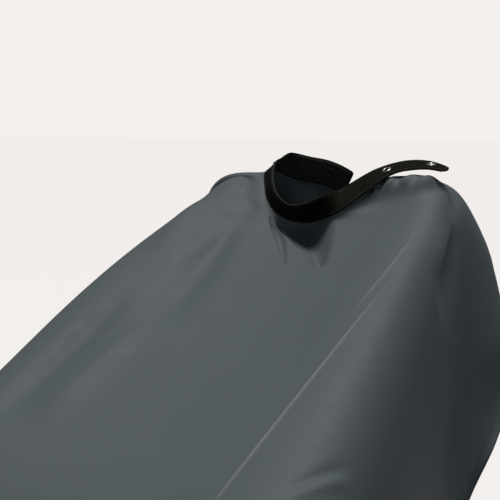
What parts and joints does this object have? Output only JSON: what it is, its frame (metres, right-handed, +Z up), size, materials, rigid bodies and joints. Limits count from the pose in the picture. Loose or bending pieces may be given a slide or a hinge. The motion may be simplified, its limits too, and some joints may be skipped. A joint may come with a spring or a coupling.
{
  "type": "barber cape",
  "caption": "Coated-nylon hairdressing cape draped over a chair back, open behind, with a stiff neckband whose free tab closes with ring snaps.",
  "frame": {"origin": "middle of the front top edge of the chair back that the cape hangs on", "axes": "+Z up; -Y the way the front of the cape falls, over the chair's arms; +X towards the side where the open tab lies"},
  "size_m": [0.8126, 1.1853, 1.1471],
  "materials": {
    "coated_nylon": "satin, water-repellent coating over a fine plain weave",
    "leatherette": "semi-gloss grained leatherette",
    "stiffener": "matt non-woven",
    "lining": "matt black lining cloth",
    "nickel": "polished nickel plate",
    "black_enamel": "semi-gloss black enamel on the rings behind the studs",
    "spring_steel": "drawn wire"
  },
  "bodies": {
    "cape": {"cape_panel": "coated_nylon", "neckband_lining": "lining", "neckband_interlining": "stiffener", "neckband_outer": "leatherette", "stud_1": "nickel", "stud_2": "nickel", "stud_3": "nickel", "stud_ring_1": "black_enamel", "stud_ring_2": "black_enamel", "stud_ring_3": "black_enamel"},
    "tab": {"tab_lining": "lining", "tab_interlining": "stiffener", "tab_outer": "leatherette", "tab_ring_1": "nickel", "tab_ring_2": "nickel", "socket_1": "nickel", "socket_2": "nickel", "socket_spring_1": "spring_steel", "socket_spring_2": "spring_steel"}
  },
  "joints": [
    {"name": "tab_fold", "type": "hinge", "parent": "cape", "child": "tab", "pos_m": [0.10469, -0.02676, -0.00486], "axis": [0.4729, -0.7881, -0.3941], "range_deg": [0, 120]}
  ]
}
